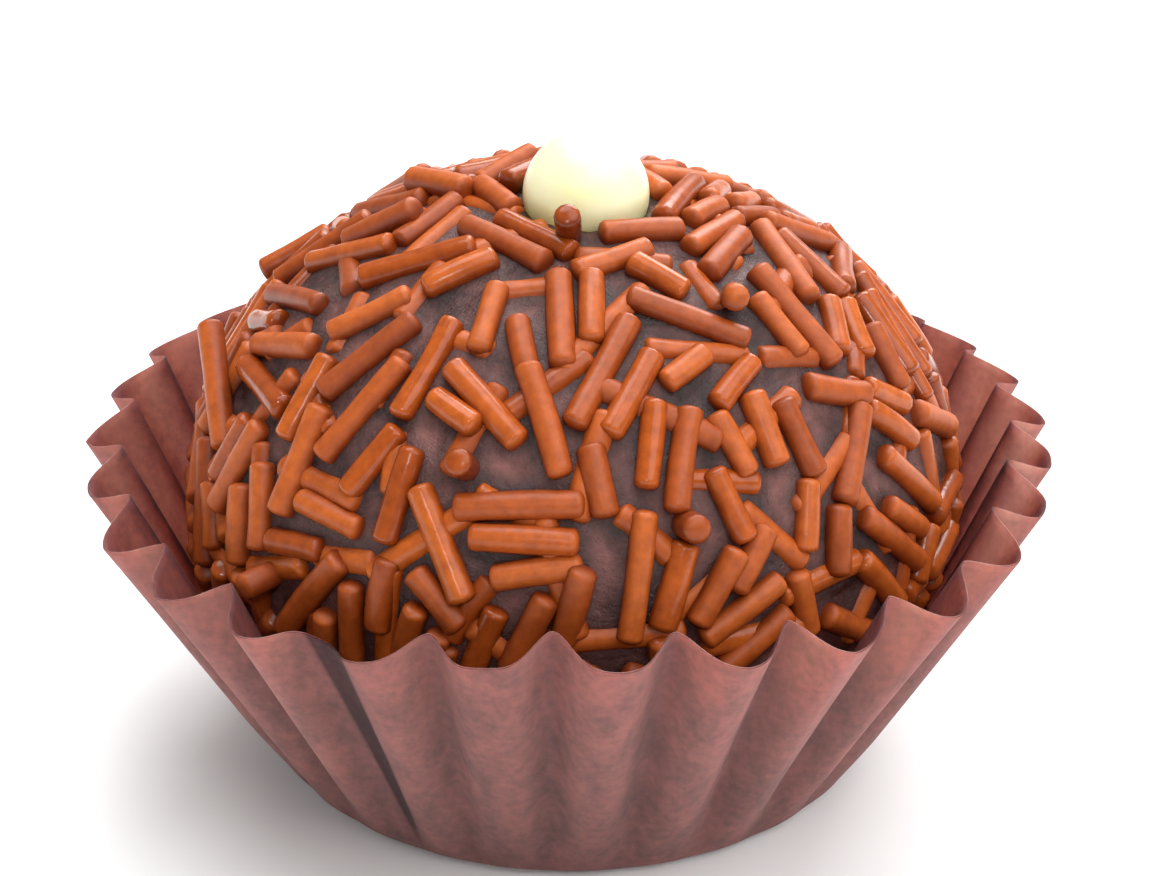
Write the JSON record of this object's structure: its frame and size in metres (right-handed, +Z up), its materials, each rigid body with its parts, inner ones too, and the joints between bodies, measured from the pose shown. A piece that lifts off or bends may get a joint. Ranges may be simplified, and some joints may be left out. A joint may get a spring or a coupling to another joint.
{
  "type": "brigadeiro",
  "caption": "Round chocolate fudge sweet coated in chocolate sprinkles, topped with a sugar pearl, standing in a pleated brown paper case.",
  "frame": {"origin": "centre of the paper case's flat base, on the surface it stands on", "axes": "+Z up through the pearl, -Y to the front, +X to the right of someone who faces the front"},
  "size_m": [0.0379, 0.0377, 0.0256],
  "materials": {
    "paper": "matt greaseproof paper, brown with a pink cast, faintly mottled by its fibres",
    "sprinkles": "chocolate sprinkles, red brown with a soft wax gloss",
    "fudge": "dark chocolate fudge between the sprinkles, slightly greasy",
    "sugar": "smooth cream sugar shell, soft gloss"
  },
  "bodies": {
    "root": {"paper_case": "paper", "brigadeiro": "sprinkles", "pearl": "sugar"}
  },
  "joints": []
}
